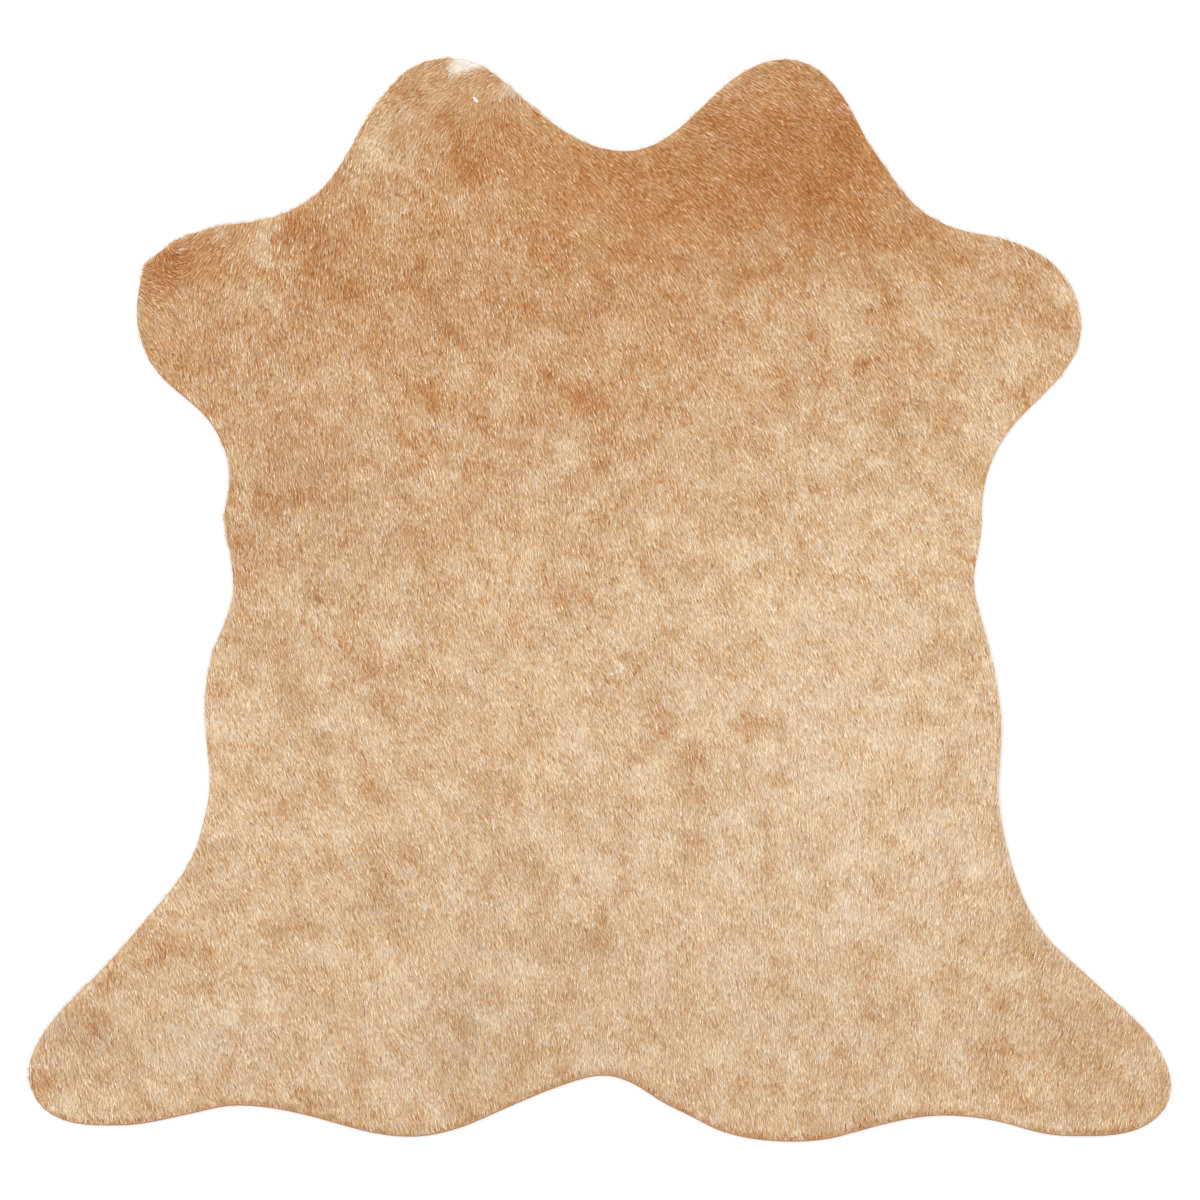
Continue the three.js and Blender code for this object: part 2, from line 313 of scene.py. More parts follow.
def painted(names, rows, columns, x, y):
    """For each of the named columns, the sum over the rows of the row's value times its oval."""
    sums = {column: np.zeros_like(x) for column in columns}
    for values in rows:
        row = dict(zip(names, values))
        turn = row.get("turn", 0)
        share = oval(x, y, row["x"], row["y"], row["rx"], row["ry"], turn)
        for column in columns:
            sums[column] += row.get(column, 0) * share
    return sums


def coat_shade(x, y):
    """Tawniness and greyness of the coat at places in millimetres, without its mottling."""
    sums = painted(SHADE_COLUMNS, SHADES, ("tawny", "grey"), x, y)
    return sums["tawny"], sums["grey"]


def mottling(x, y):
    """What the clouds add to the tawniness: a sum of smooth random fields, and small dabs
    where one more field passes a threshold."""
    total = np.zeros_like(x)
    for k, (cell, shift) in enumerate(CLOUDS):
        total += shift * cloud(x, y, cell, 40 + k)
    wander_x, wander_y = 5 * cloud(x, y, 8, 61), 5 * cloud(x, y, 8, 62)
    dabs = smooth(0.7, 1.9, cloud(x + wander_x, y + wander_y, 7.5, 63))
    return total + 0.40 * dabs * smooth(-0.8, 1.2, cloud(x, y, 45, 64))


def mottled_shade(x, y):
    """Tawniness and greyness with the mottling, which is weaker where the coat is tawny."""
    tawny, grey = coat_shade(x, y)
    return tawny + mottling(x, y) * (1.12 - 0.42 * smooth(0.1, 0.9, tawny)), grey


def streaks(x, y, lean):
    """Fine stripes of tone that follow the nap: a smooth random field, less its mean at half a
    stripe's period to both sides, averaged over places along the hair. The spread is about 1."""
    away_x, away_y = np.sin(lean), -np.cos(lean)
    step = np.linspace(-0.5, 0.5, 5)[:, None] * STREAK_LENGTH
    total = np.zeros_like(x)
    for aside, share in ((0, 1), (STREAK_PERIOD / 2, -0.5), (-STREAK_PERIOD / 2, -0.5)):
        side_x, side_y = x - aside * away_y, y + aside * away_x
        field = cloud(side_x + step * away_x, side_y + step * away_y, STREAK_CELL, 81)
        total += share * field.mean(axis=0)
    return total * STREAK_SCALE


def white_hair(x, y):
    """Share of white hairs at places in millimetres."""
    rough = 1 + 0.35 * cloud(x, y, 3.0, 71)
    sums = painted(WHITE_COLUMNS, WHITES, ("white",), x, y)
    return np.clip(sums["white"] * rough * 1.6, 0, 0.94)


def nap_lean(x, y):
    """Lean of the hair in radians, between -90 and 90 degrees: the mean of the rows' doubled
    angles, each weighed by the bell curve of its distance over its reach."""
    bands = [(x, y, lean, BAND_REACH) for y, places in NAP_BANDS for x, lean in places]
    nap = table(NAP_COLUMNS, [*NAP, *bands])
    two = 2 * np.radians(nap["lean"])
    weight = (45 / nap["reach"]) ** 2
    cosine, sine = np.zeros_like(x), np.zeros_like(x)
    for k in range(len(two)):
        far = ((x - nap["x"][k]) ** 2 + (y - nap["y"][k]) ** 2) / nap["reach"][k] ** 2
        share = weight[k] * np.exp(-far / 2)
        cosine += share * math.cos(two[k])
        sine += share * math.sin(two[k])
    return np.arctan2(sine, cosine) / 2


def edges_of(faces):
    """The three edges of each triangle, all first edges first."""
    return np.concatenate([faces[:, [0, 1]], faces[:, [1, 2]], faces[:, [2, 0]]])


def in_chunks(work, x, y):
    """What work gives for all places, taken as columns of at most CHUNK of them."""
    starts = range(0, len(x), CHUNK)
    parts = [work(x[k : k + CHUNK, None], y[k : k + CHUNK, None]) for k in starts]
    return np.concatenate(parts) if parts else np.zeros(0)


class Rug:
    """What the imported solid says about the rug: its welded mesh, its outline and its height."""

    def __init__(self, node):
        self.points, self.faces = self.welded(node)
        self.starts, self.ends = self.outline()
        self.gap_grid = self.grid(3.0, self.gap)
        self.height_grid = self.grid(8.0, self.heights)

    @staticmethod
    def welded(node):
        """Points in millimetres and triangles of the node, with corners that share a place
        to a hundredth of a millimetre made one point."""
        mesh = node.data
        mesh.calc_loop_triangles()
        places = np.zeros(len(mesh.vertices) * 3)
        corners = np.zeros(len(mesh.loop_triangles) * 3, np.int32)
        mesh.vertices.foreach_get("co", places)
        mesh.loop_triangles.foreach_get("vertices", corners)
        places = places.reshape(-1, 3) / MM
        keys = np.round(places * 100).astype(np.int64)
        _, first, shared = np.unique(keys, axis=0, return_index=True, return_inverse=True)
        faces = shared.reshape(-1)[corners].reshape(-1, 3)
        whole = (faces[:, 0] != faces[:, 1]) & (faces[:, 1] != faces[:, 2])
        whole &= faces[:, 2] != faces[:, 0]
        return places[first], faces[whole]

    def outline(self):
        """Start and end points of the outline's edges, the rug on their left: the edges of
        faces that look up whose other face doesn't."""
        a, b, c = (self.points[self.faces[:, k]] for k in range(3))
        normal = np.cross(b - a, c - a)
        up = normal[:, 2] > 0.02 * np.linalg.norm(normal, axis=1)
        count = len(self.points)
        upper, lower = edges_of(self.faces[up]), edges_of(self.faces[~up])
        joined = np.isin(upper @ [count, 1], lower @ [1, count])
        rim = upper[joined]
        self.upper_points = np.unique(self.faces[up])
        return self.points[rim[:, 0], :2], self.points[rim[:, 1], :2]

    def gap(self, x, y):
        """Distance in millimetres from each place to the outline, positive on the rug: the
        least distance to any edge, signed by how many edges a ray towards +X crosses."""
        ax, ay = self.starts.T
        bx, by = self.ends.T
        ux, uy = bx - ax, by - ay
        span = ux**2 + uy**2
        rise = np.where(by == ay, 1, by - ay)

        def signed(px, py):
            s = np.clip(((px - ax) * ux + (py - ay) * uy) / span, 0, 1)
            near = np.hypot(px - ax - s * ux, py - ay - s * uy).min(axis=1)
            astride = (ay > py) != (by > py)
            crossed = astride & (px < ax + (py - ay) * ux / rise)
            return np.where(crossed.sum(axis=1) % 2 == 1, near, -near)

        return in_chunks(signed, x, y)

    def heights(self, x, y):
        """Height of the coat in millimetres: the mean of the solid's upper points inside its
        shoulder, weighed by a bell curve of their distance."""
        top = self.points[self.upper_points]
        top = top[self.gap(top[:, 0], top[:, 1]) > SHOULDER - 0.5]

        def mean(px, py):
            far = ((px - top[:, 0]) ** 2 + (py - top[:, 1]) ** 2) / (2 * SWELL_BELL**2)
            share = np.exp(-np.minimum(far, 60)) + 1e-12 / (1 + far)
            return (share * top[:, 2]).sum(axis=1) / share.sum(axis=1)

        return in_chunks(mean, x, y)

    @staticmethod
    def grid(step, field):
        """A field's values on a square grid of the given step that covers the rug."""
        reach = 500
        line = np.arange(-reach, reach + step, step)
        gx, gy = np.meshgrid(line, line, indexing="ij")
        return step, reach, field(gx.ravel(), gy.ravel()).reshape(gx.shape)

    @staticmethod
    def sampled(grid, x, y):
        """The grid's value at each place, by two-way straight interpolation."""
        step, reach, values = grid
        u = np.clip((x + reach) / step, 0, values.shape[0] - 1.001)
        v = np.clip((y + reach) / step, 0, values.shape[1] - 1.001)
        i, j = u.astype(int), v.astype(int)
        u, v = u - i, v - j
        return (values[i, j] * (1 - u) + values[i + 1, j] * u) * (1 - v) + (
            values[i, j + 1] * (1 - u) + values[i + 1, j + 1] * u
        ) * v

    def near_gap(self, x, y):
        """The gap again, from the grid inside the rug and exactly within 9 mm of the edge."""
        out = self.sampled(self.gap_grid, x, y)
        close = np.abs(out) < 9
        out[close] = self.gap(x[close], y[close])
        return out

    def outward(self, x, y):
        """Unit direction out of the rug: down the slope of the gap."""
        h = 4.0
        gx = self.sampled(self.gap_grid, x - h, y) - self.sampled(self.gap_grid, x + h, y)
        gy = self.sampled(self.gap_grid, x, y - h) - self.sampled(self.gap_grid, x, y + h)
        length = np.maximum(np.hypot(gx, gy), 1e-6)
        return gx / length, gy / length

    def coat_top(self, x, y, gap, skin):
        """Height of the coat's surface: the solid's, rounded off over the shoulder as a
        quarter circle that starts at a third of the coat's depth."""
        full = self.sampled(self.height_grid, x, y)
        u = 1 - np.clip(gap / SHOULDER, 0, 1)
        return skin + (full - skin) * (0.33 + 0.67 * np.sqrt(1 - u * u))


class Value:
    """A number or colour that varies over a surface. It wraps a node's output, and
    arithmetic on it adds Math nodes."""

    def __init__(self, paint, socket):
        self.paint, self.socket = paint, socket

    def math(self, operation, *terms):
        return self.paint.add(
            "ShaderNodeMath", {"operation": operation}, dict(enumerate(terms))
        )

    def __add__(self, other):
        return self.math("ADD", self, other)

    def __sub__(self, other):
        return self.math("SUBTRACT", self, other)

    def __rsub__(self, other):
        return self.math("SUBTRACT", other, self)

    def __mul__(self, other):
        return self.math("MULTIPLY", self, other)

    __radd__, __rmul__ = __add__, __mul__


class Paint:
    """A node material in the making."""

    def __init__(self, name):
        self.material = bpy.data.materials.new(name)
        self.material.use_nodes = True
        self.tree = self.material.node_tree
        self.tree.nodes.clear()

    def add(self, kind, settings=None, inputs=None, output=0):
        """Adds a node of the given kind: its settings first, then its sockets' values and
        links. Returns the named output."""
        node = self.tree.nodes.new(kind)
        for key, value in (settings or {}).items():
            setattr(node, key, value)
        for key, value in (inputs or {}).items():
            if isinstance(value, Value):
                self.tree.links.new(value.socket, node.inputs[key])
            else:
                node.inputs[key].default_value = value
        return Value(self, node.outputs[output])

    def mix(self, share, first, second, blend="MIX"):
        """The first colour where share is 0 and the second where it is 1."""
        settings = {"data_type": "RGBA", "blend_type": blend}
        return self.add("ShaderNodeMix", settings, {0: share, 6: first, 7: second}, 2)

    def kept(self, *names):
        """Numbers kept on the mesh's points."""
        return [
            self.add("ShaderNodeAttribute", {"attribute_name": name}, {}, "Fac") for name in names
        ]

    def noise(self, scale, detail=2.0, along_nap=1.0, lean=0.0):
        """Noise on Object coordinates, scale waves to the metre, drawn out along_nap times
        along hair of the given lean in degrees."""
        place = self.add("ShaderNodeTexCoord", {}, {}, "Object")
        mapped = self.add(
            "ShaderNodeMapping",
            {"vector_type": "TEXTURE"},
            {"Vector": place, "Scale": (1, along_nap, 1), "Rotation": (0, 0, math.radians(lean))},
        )
        return self.add(
            "ShaderNodeTexNoise", {}, {"Vector": mapped, "Scale": scale, "Detail": detail}
        )

    def ramp(self, value, low, high):
        """0 where the value is low, 1 where it is high, soft at both ends."""
        return self.add(
            "ShaderNodeMapRange",
            {"interpolation_type": "SMOOTHSTEP"},
            {"Value": value, "From Min": low, "From Max": high},
        )

    def hairs(self, across, along, lock, scale):
        """Noise drawn out along a lock, from its own coordinates in millimetres."""
        place = self.add(
            "ShaderNodeCombineXYZ", {}, {"X": across, "Y": along * 0.28, "Z": lock}
        )
        return self.add("ShaderNodeTexNoise", {}, {"Vector": place, "Scale": scale, "Detail": 1})

    def spot(self, x, y, half_x, half_y, turn, rim=(1.3, 0.6)):
        """1 in the middle of a turned oval, 0 outside it, on Object coordinates; its middle
        and half widths are in millimetres, its turn in degrees. It fades between the rim's two
        shares of the half widths."""
        place = self.add("ShaderNodeTexCoord", {}, {}, "Object")
        inputs = {
            "Vector": place,
            "Location": (x * MM, y * MM, 0),
            "Rotation": (0, 0, math.radians(turn)),
            "Scale": (half_x * MM, half_y * MM, 1),
        }
        mapped = self.add("ShaderNodeMapping", {"vector_type": "TEXTURE"}, inputs)
        far = self.add("ShaderNodeVectorMath", {"operation": "LENGTH"}, {0: mapped}, "Value")
        return self.ramp(far, *rim)

    def tones(self, share, stops):
        """A colour from a row of stops, each a place from 0 to 1 and a colour."""
        value = self.add("ShaderNodeValToRGB", {}, {"Fac": share}, "Color")
        ramp = value.socket.node.color_ramp
        while len(ramp.elements) < len(stops):
            ramp.elements.new(1.0)
        for element, (place, colour) in zip(ramp.elements, stops):
            element.position, element.color = place, colour
        return value

    def bump(self, height, strength, distance):
        """A normal tilted by the slope of a height."""
        inputs = {"Height": height, "Strength": strength, "Distance": distance}
        return self.add("ShaderNodeBump", {}, inputs, "Normal")

    def finish(self, **inputs):
        """Ends the material in a Principled shader with these sockets."""
        shader = self.add(
            "ShaderNodeBsdfPrincipled", {}, {k.replace("_", " "): v for k, v in inputs.items()}
        )
        end = self.tree.nodes.new("ShaderNodeOutputMaterial")
        self.tree.links.new(shader.socket, end.inputs["Surface"])
        return self.material


def linear(red, green, blue):
    """A screen colour, 0 to 255, as the linear colour with full opacity that nodes take."""
    channels = np.array([red, green, blue]) / 255
    low, high = channels / 12.92, ((channels + 0.055) / 1.055) ** 2.4
    return tuple(float(c) for c in np.where(channels > 0.04045, high, low)) + (1.0,)


WHITE_HAIR, PURE_WHITE = linear(247, 241, 233), (1.0, 1.0, 1.0, 1.0)
GREY_HAIR, SHADOW = linear(168, 152, 138), linear(110, 62, 28)
PALE_SUEDE, DARK_LEATHER = linear(180, 158, 130), linear(140, 88, 54)


def mesh_piece(name, points, faces, values, material, uv=None):
    """A mesh object at the origin: points in millimetres, triangles, and numbers on the
    points, each a named attribute. uv gives a place on the OFBake map for each corner."""
    mesh = bpy.data.meshes.new(name)
    mesh.vertices.add(len(points))
    mesh.vertices.foreach_set("co", (points * MM).astype(np.float32).ravel())
    mesh.loops.add(faces.size)
    mesh.loops.foreach_set("vertex_index", faces.astype(np.int32).ravel())
    mesh.polygons.add(len(faces))
    mesh.polygons.foreach_set("loop_start", np.arange(0, faces.size, 3, dtype=np.int32))
    mesh.update(calc_edges=True)
    mesh.shade_flat()
    for key, numbers in values.items():
        attribute = mesh.attributes.new(key, "FLOAT", "POINT")
        attribute.data.foreach_set("value", numbers.astype(np.float32))
    if uv is not None:
        layer = mesh.uv_layers.new(name="OFBake")
        layer.data.foreach_set("uv", uv.astype(np.float32).ravel())
    mesh.materials.append(material)
    if mesh.validate():
        raise ValueError(f"{name} has faces that Blender refuses")
    piece = bpy.data.objects.new(name, mesh)
    bpy.context.scene.collection.objects.link(piece)
    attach(piece, "root")
    return piece


def colour_property(name, description, default):
    """A property that holds a colour with its opacity."""
    return FloatVectorProperty(
        name=name, description=description, default=default,
        size=4, min=0, max=1, subtype="COLOR",
    )


def length_property(name, description, default, least, most):
    """A property that holds a length; all three are given in millimetres."""
    return FloatProperty(
        name=name, description=description, default=default * MM,
        min=least * MM, max=most * MM, unit="LENGTH", precision=4,
    )


class RugLooks(bpy.types.PropertyGroup):
    """Sizes and colours of the rug that a user would change."""

    skin_thickness: length_property("Skin thickness", "Tanned hide without its hair", 2.2, 1, 4)
    hair_length: length_property("Hair length", "Mean length of a lock of the coat", 5.2, 4, 30)
    lock_width: length_property("Lock width", "Mean width of a lock at its widest", 0.64, 0.4, 4)
    locks: IntProperty(
        name="Locks", description="Locks of hair in the whole coat",
        default=222000, min=1000, max=len(COATS) * MOST_LOCKS,
    )
    clumping: FloatProperty(
        name="Clumping", description="How far locks turn towards or from their neighbours",
        default=math.radians(5), min=0, max=math.radians(40), subtype="ANGLE",
    )
    pale_hair: colour_property(
        "Palest hair", "Tips of the lightest hairs on the flanks and rump", linear(243, 227, 200)
    )
    sand_hair: colour_property("Sand hair", "Usual hair of the flanks", linear(225, 197, 159))
    tan_hair: colour_property("Tan hair", "Usual hair of the chest", linear(208, 166, 117))
    tawny_hair: colour_property("Tawny hair", "Usual hair of the neck", linear(192, 129, 70))
    umber_hair: colour_property("Umber hair", "Darkest hairs in the mottling", linear(162, 95, 40))
    cut_edge: colour_property("Cut edge", "Leather where the hide is cut", linear(158, 106, 62))
    suede: colour_property("Suede", "Flesh side below", linear(205, 186, 160))


class StageLooks(bpy.types.PropertyGroup):
    """Floor, light and camera."""

    floor_width: FloatProperty(
        name="Floor width", description="Side of the square floor",
        default=8.0, min=2.0, unit="LENGTH",
    )
    floor_colour: colour_property("Floor colour", "Plain pale floor", (0.94, 0.94, 0.94, 1.0))
    sky: FloatProperty(
        name="Sky light", description="Strength of the even white light all round",
        default=1.205, min=0,
    )
    window: FloatProperty(
        name="Soft box", description="Power of the soft box at the upper left",
        default=8.0, min=0, unit="POWER",
    )
    frame_width: FloatProperty(
        name="Frame width", description="Width that the camera takes in on the floor",
        default=0.96, min=0.1, unit="LENGTH",
    )
    lens: FloatProperty(
        name="Lens", description="Focal length in millimetres", default=85.0, min=20.0,
    )


TONE_LOW, TONE_HIGH = -0.6, 1.8  # tawniness at the two ends of the hair tones


def hair_tones(paint, tawny, grey, looks):
    """Hair colour from tawniness: pale, sand, tan, tawny and umber at even steps of 0.6,
    dulled towards grey brown where the coat is greyer."""
    share = (tawny - TONE_LOW) * (1 / (TONE_HIGH - TONE_LOW))
    names = ("pale_hair", "sand_hair", "tan_hair", "tawny_hair", "umber_hair")
    stops = [(k / 4, tuple(getattr(looks, name))) for k, name in enumerate(names)]
    colour = paint.tones(share, stops)
    return paint.mix(grey, colour, GREY_HAIR)


def varied(paint, colour, warmth, light):
    """The colour turned cooler where warmth is 0 and warmer where it is 1, as light as before,
    then made lighter or darker by light."""
    tint = paint.mix(warmth, (0.95, 1.0, 1.20, 1.0), (1.05, 1.0, 0.82, 1.0))
    tinted = paint.mix(1.0, colour, tint, "MULTIPLY")
    return paint.add(
        "ShaderNodeVectorMath", {"operation": "SCALE"}, {0: tinted, "Scale": light}
    )


def coat_material(looks):
    """Hair: tones from the lock's own tawniness, greyness, whiteness and shade, with fine
    specks, and a satin finish that is glossier on the darker hair. Its shade is painted shade
    at the roots and along the lower rim, and a darker tone at random from lock to lock."""
    paint = Paint("coat_hair")
    tawny, grey, white, shade, warmth, light = paint.kept(
        "tawny", "grey", "white", "shade", "warmth", "light"
    )
    hair = paint.hairs(*paint.kept("across", "along", "lock"), 3.2) - 0.5
    colour = hair_tones(paint, tawny + hair * 1.2, grey, looks)
    colour = varied(paint, colour, warmth, light - hair * 0.5)
    colour = paint.mix(white, colour, WHITE_HAIR)
    # Towards SHADOW: painted shade at the roots and along the lower rim, and a darker tone at random
    # from lock to lock.
    colour = paint.mix(shade, SHADOW, colour)
    x, y, half_x, half_y, turn = SCRATCH
    around = paint.spot(x, y, half_x + 0.8, half_y + 0.7, turn)
    colour = paint.mix(around * 0.4, colour, SHADOW)
    colour = paint.mix(paint.spot(*SCRATCH, SCRATCH_RIM), colour, PURE_WHITE)
    return paint.finish(
        Base_Color=colour,
        Roughness=0.62 - tawny * 0.06 + hair * 0.2,
        Normal=paint.bump(hair, 0.35, 0.12 * MM),
        Specular_IOR_Level=0.22,
        Sheen_Weight=0.08,
        Sheen_Roughness=0.4,
    )


def skin_material(looks):
    """Skin: down in the coat's tones above, tawnier and a little darker as painted shade between
    the locks, bare cut leather at the edge, and suede with a soft nap below, told apart by the
    shares upper and edge that are kept on the mesh."""
    paint = Paint("tanned_skin")
    tawny, grey, upper, edge, lean = paint.kept("tawny", "grey", "upper", "edge", "lean")
    usual, right, left = (paint.noise(760, 1.5, 3.2, turn) for turn in (16, 52, -50))
    hair = usual + (right - usual) * paint.ramp(lean, 24, 44)
    hair = hair + (left - usual) * paint.ramp(lean, -8, -34) - 0.5
    # The down is tawnier and a tenth of the way to SHADOW: painted shade in the gaps between the
    # locks.
    down = hair_tones(paint, tawny + 0.2 + hair * 3.2, grey, looks)
    down = varied(paint, down, paint.noise(640, 2.0, 2.0, 16) * 1.6 - 0.3, 1.0)
    down = paint.mix(0.9, SHADOW, down)
    _, x, y, half_x, half_y, _, turn = WHITES[0]
    tuft = paint.spot(x, y, half_x, half_y, turn)
    down = paint.mix(tuft * (hair * 0.8 + 0.75), down, WHITE_HAIR)
    down = paint.mix(paint.spot(*SCRATCH, SCRATCH_RIM), down, PURE_WHITE)
    grain = paint.noise(260, 4.0) - 0.5
    nap = paint.noise(60, 5.0) - 0.5
    suede = paint.mix(grain * 0.5 + nap * 0.9 + 0.5, tuple(looks.suede), PALE_SUEDE)
    leather = paint.mix(grain + 0.4, tuple(looks.cut_edge), DARK_LEATHER)
    colour = paint.mix(upper, suede, down)
    colour = paint.mix(edge, colour, leather)
    return paint.finish(
        Base_Color=colour,
        Roughness=0.92 - edge * 0.2 + grain * 0.1,
        Normal=paint.bump(grain + hair * 0.5, 0.3, 0.3 * MM),
        Specular_IOR_Level=0.25,
    )


def tetra_locks(root, tip, lean, width, drop, belly):
    """Closed locks of four points and four faces: a ridge from root to tip, and a left and a
    right point half a width to the sides at the belly's share of the length, dropped below
    the ridge. Returns points (4 n, 3) and faces (4 n, 3)."""
    count = len(lean)
    side = np.stack([np.cos(lean), np.sin(lean), np.zeros(count)], 1) * (width / 2)[:, None]
    middle = root + (tip - root) * belly[:, None]
    middle[:, 2] -= drop
    points = np.stack([root, tip, middle + side, middle - side], 1).reshape(-1, 3)
    pattern = np.array([[0, 1, 2], [0, 3, 1], [0, 2, 3], [1, 3, 2]])
    faces = (np.arange(count)[:, None, None] * 4 + pattern).reshape(-1, 3)
    return points, faces


def atlas(count):
    """A place on the map for each corner of each lock: square cells in rows, a lock's ridge
    on the cell's diagonal, its sides at the other two corners."""
    across = math.ceil(math.sqrt(count))
    cell = np.stack([np.arange(count) % across, np.arange(count) // across], 1) / across
    spot = np.array([[0, 0], [1, 1], [0, 1], [1, 0]]) * (0.98 / across)
    pattern = np.array([0, 1, 2, 0, 3, 1, 0, 2, 3, 1, 3, 2])
    return (cell[:, None, :] + 0.01 / across + spot[pattern][None]).reshape(-1, 2)


def on_points(values):
    """Numbers for the locks' points, from one number or four for each lock."""
    return {
        name: value.ravel() if value.ndim == 2 else np.repeat(value, 4)
        for name, value in values.items()
    }


def lock_roots(rug, wanted):
    """Places of the locks' roots: a shaken square lattice over the rug, as many as wanted,
    in rows from the neck down and from left to right in a row."""
    draw = np.random.default_rng(11)
    step = math.sqrt(RUG_AREA / wanted)
    for _ in range(3):
        line = np.arange(-HALF_SPAN, HALF_SPAN, step)
        gx, gy = (g.ravel() for g in np.meshgrid(line, line))
        x = gx + draw.uniform(-0.5, 0.5, gx.size) * step
        y = gy + draw.uniform(-0.5, 0.5, gy.size) * step
        gap = rug.near_gap(x, y)
        inside = gap > 0.5
        if inside.sum() <= wanted:
            break
        step *= math.sqrt(inside.sum() / wanted) * 1.001
    return x[inside], y[inside], gap[inside]


def outline_places(rug, spacing, depth, draw):
    """Places inside the rug's outline: one to each stretch of the given spacing along it,
    shaken, and from 0.1 mm to the given depth in from it."""
    along = rug.ends - rug.starts
    span = np.hypot(along[:, 0], along[:, 1])
    far = np.concatenate([[0], np.cumsum(span)])
    count = int(far[-1] / spacing)
    goal = (np.arange(count) + draw.uniform(0, 1, count)) * far[-1] / count
    edge = np.clip(np.searchsorted(far, goal, side="right") - 1, 0, len(span) - 1)
    share = (goal - far[edge]) / span[edge]
    inward = np.stack([-along[edge, 1], along[edge, 0]], 1) / span[edge, None]
    inside = draw.uniform(0.1, depth, count)[:, None] * inward
    x, y = (rug.starts[edge] + along[edge] * share[:, None] + inside).T
    return x, y, rug.gap(x, y)


def hem_roots(rug):
    """Roots of the extra locks that cover the edge where the hair lies inwards."""
    x, y, gap = outline_places(rug, HEM_STRETCH, HEM_DEPTH, np.random.default_rng(12))
    lean = nap_lean(x, y)
    out_x, out_y = rug.outward(x, y)
    inwards = (np.sin(lean) * out_x - np.cos(lean) * out_y < 0.1) & (gap > 0.05)
    return x[inwards], y[inwards], gap[inwards]


def comb(rug, looks, x, y, gap, draw):
    """Turns roots into locks. A lock's length, width, lean and colour vary round the coat's;
    its tip stops at the trimmed edge and lies a little under the solid's surface. Returns
    the locks' arrays, all in millimetres."""
    count = len(x)
    skin = looks.skin_thickness / MM
    lean = nap_lean(x, y)
    lean += looks.clumping * (0.6 * cloud(x, y, 4, 21) + 0.5 * cloud(x, y, 9, 22))
    lean += draw.normal(0, math.radians(9), count)
    length = looks.hair_length / MM * draw.lognormal(0, 0.16, count)
    away_x, away_y = np.sin(lean), -np.cos(lean)
    out_x, out_y = rug.outward(x, y)
    heading = away_x * out_x + away_y * out_y
    trim = edge_trim(out_x, out_y, x, y) + draw.normal(0, 0.35, count)
    for _ in range(3):
        reach = rug.near_gap(x + away_x * length, y + away_y * length) - trim
        over = np.clip(-reach, 0, None)
        length = np.maximum(length - over / np.clip(heading, 0.35, 1), 1.2)
    tip_x, tip_y = x + away_x * length, y + away_y * length
    tip_gap = rug.near_gap(tip_x, tip_y)
    top = rug.coat_top(tip_x, tip_y, tip_gap, skin) - draw.uniform(0.0, 0.45, count)
    low = skin - 0.2 + DOWN * (rug.coat_top(x, y, gap, skin) - skin)
    width = looks.lock_width / MM * draw.lognormal(0, 0.18, count)
    short = np.clip(length / 5, 0.35, 1)
    root = np.stack([x, y, low], 1)
    tip = np.stack([tip_x, tip_y, np.maximum(top, low + 0.2)], 1)
    belly = draw.uniform(0.5, 0.68, count)
    belly *= 1 - 0.8 * smooth(4.0, 1.5, gap) * smooth(0.2, -0.1, heading)
    points, faces = tetra_locks(
        root, tip, lean, width * short, 0.15 * width * short, belly
    )
    mid_x, mid_y = x + away_x * length * 0.7, y + away_y * length * 0.7
    tawny, grey = mottled_shade(mid_x, mid_y)
    stripes = streaks(mid_x, mid_y, nap_lean(mid_x, mid_y))
    rough = 1 - 0.45 * oval(mid_x, mid_y, *SLEEK)
    tawny += (0.36 * stripes + draw.normal(0, 0.37, count)) * rough
    white = white_hair(mid_x, mid_y)
    # cut: painted shade along the lower edges, where the coat curves down over the rim, together
    # with the darker cut ends of the trimmed hair there.
    cut = smooth(6.0, 0.8, tip_gap) * smooth(0.1, 0.6, heading) * smooth(0.0, -0.6, out_y)
    cut *= smooth(-120, -260, tip_y)
    shade = 1 - np.clip(draw.normal(0.02, 0.05, count), 0, 0.5)
    at_belly = np.stack([0 * belly, 1 + 0 * belly, belly, belly], 1)
    warmth = 0.5 + 0.05 * cloud(mid_x, mid_y, 5, 91) + 0.03 * cloud(mid_x, mid_y, 20, 92)
    warmth += draw.normal(0, 0.24, count)
    light = 1 + np.clip(draw.normal(0, 0.12, count), -0.3, 0.3) * rough
    values = {
        "warmth": np.clip(warmth, 0, 1),
        "light": light,
        "tawny": tawny[:, None] + POINT_TAWNY_AND_ROOT_SHADE + 1.6 * cut[:, None] * POINT_RIM_SHADE_AND_CUT,
        "grey": np.clip(grey, 0, 1),
        "white": white,
        "shade": shade[:, None] - POINT_SHADE - 0.34 * cut[:, None] * POINT_RIM_SHADE_AND_CUT,
        "across": (width * short)[:, None] * np.array([0, 0, 0.5, -0.5]),
        "along": length[:, None] * at_belly,
        "lock": draw.uniform(0, 50, count),
    }
    return points, faces, on_points(values)


def edge_trim(out_x, out_y, x, y):
    """How far inside the outline the hair's tips end, in millimetres: trimmed back along the
    lower edges, flush on the right, and hanging over on the left and upper left."""
    lower = smooth(0.1, -0.5, out_y) * (0.25 + 0.75 * smooth(-100, -220, y))
    left = smooth(-0.1, -0.6, out_x) * smooth(-0.5, 0.0, out_y)
    return 0.3 + 0.9 * lower - 1.4 * left


def quartered(points, faces):
    """A closed mesh with each triangle cut into four at the middles of its edges."""
    pairs, shared = np.unique(np.sort(edges_of(faces), 1), axis=0, return_inverse=True)
    middles = points[pairs].mean(axis=1)
    ab, bc, ca = shared.reshape(3, -1) + len(points)
    a, b, c = faces.T
    fine = [(a, ab, ca), (ab, b, bc), (ca, bc, c), (ab, bc, ca)]
    faces = np.concatenate([np.stack(corners, 1) for corners in fine])
    return np.concatenate([points, middles]), faces


